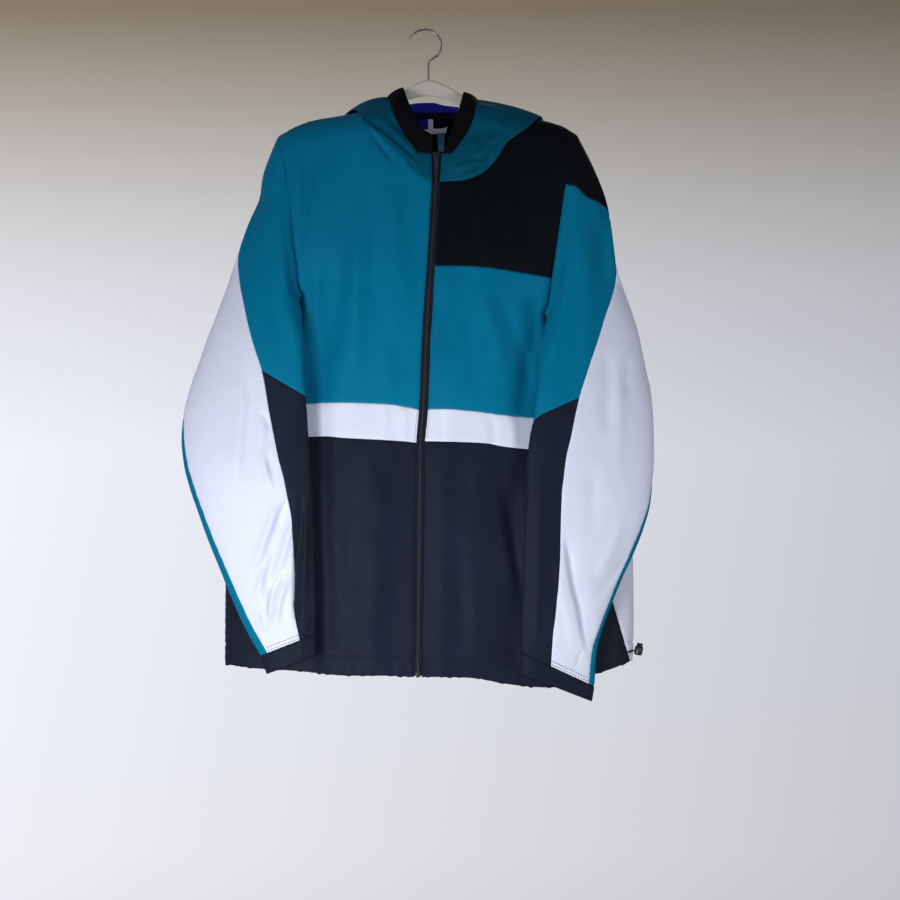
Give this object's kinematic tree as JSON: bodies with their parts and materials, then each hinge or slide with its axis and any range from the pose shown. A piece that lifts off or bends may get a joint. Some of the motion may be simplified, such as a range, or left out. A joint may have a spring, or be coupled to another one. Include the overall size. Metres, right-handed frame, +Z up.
{
  "type": "windbreaker jacket on a hanger",
  "caption": "Hooded windbreaker with a full front zip in teal, white, navy and black colour blocks, hanging on a moulded hanger with a wire hook.",
  "frame": {"origin": "inside top of the bend of the hanger's hook, where it rests on what holds it", "axes": "+X to the wearer's left, +Y from the jacket's front to its back, +Z up"},
  "size_m": [0.5912, 0.1563, 0.8409],
  "materials": {
    "teal_cloth": "matt woven nylon",
    "white_cloth": "matt woven nylon",
    "navy_cloth": "matt woven nylon",
    "black_cloth": "matt woven nylon",
    "blue_lining": "matt lining",
    "black_plastic": "satin moulded plastic",
    "dark_metal": "satin paint",
    "bright_wire": "bright wire",
    "ivory_plastic": "satin moulded plastic"
  },
  "bodies": {
    "garment": {"back": "white_cloth", "cord_lock": "black_plastic", "cuff_left": "navy_cloth", "cuff_right": "navy_cloth", "front_left_lower": "navy_cloth", "front_left_stripe": "white_cloth", "front_left_upper": "teal_cloth", "front_left_yoke": "black_cloth", "front_right_lower": "navy_cloth", "front_right_stripe": "white_cloth", "front_right_upper": "teal_cloth", "hanger_body": "ivory_plastic", "hanger_hook": "bright_wire", "hem_cord": "black_cloth", "hood_back": "teal_cloth", "hood_band_left": "black_cloth", "hood_band_right": "black_cloth", "hood_left": "teal_cloth", "hood_right": "teal_cloth", "neck_label": "white_cloth", "neck_lining": "blue_lining", "neck_tape": "black_cloth", "side_left": "white_cloth", "sleeve_left_back": "teal_cloth", "sleeve_left_cap": "black_cloth", "sleeve_left_lower": "navy_cloth", "sleeve_left_outer": "white_cloth", "sleeve_left_upper": "teal_cloth", "sleeve_right_back": "teal_cloth", "sleeve_right_lower": "navy_cloth", "sleeve_right_outer": "white_cloth", "sleeve_right_upper": "teal_cloth", "zip_chain": "black_plastic", "zip_slider": "dark_metal", "zip_stop": "black_plastic", "zip_tape_left": "black_cloth", "zip_tape_right": "black_cloth"},
    "pull": {"zip_pull": "dark_metal"}
  },
  "joints": [
    {"name": "pull_swing", "type": "hinge", "parent": "garment", "child": "pull", "pos_m": [0.0144, -0.0505, -0.161], "axis": [-1, 0, 0], "range_deg": [0, 165]}
  ]
}
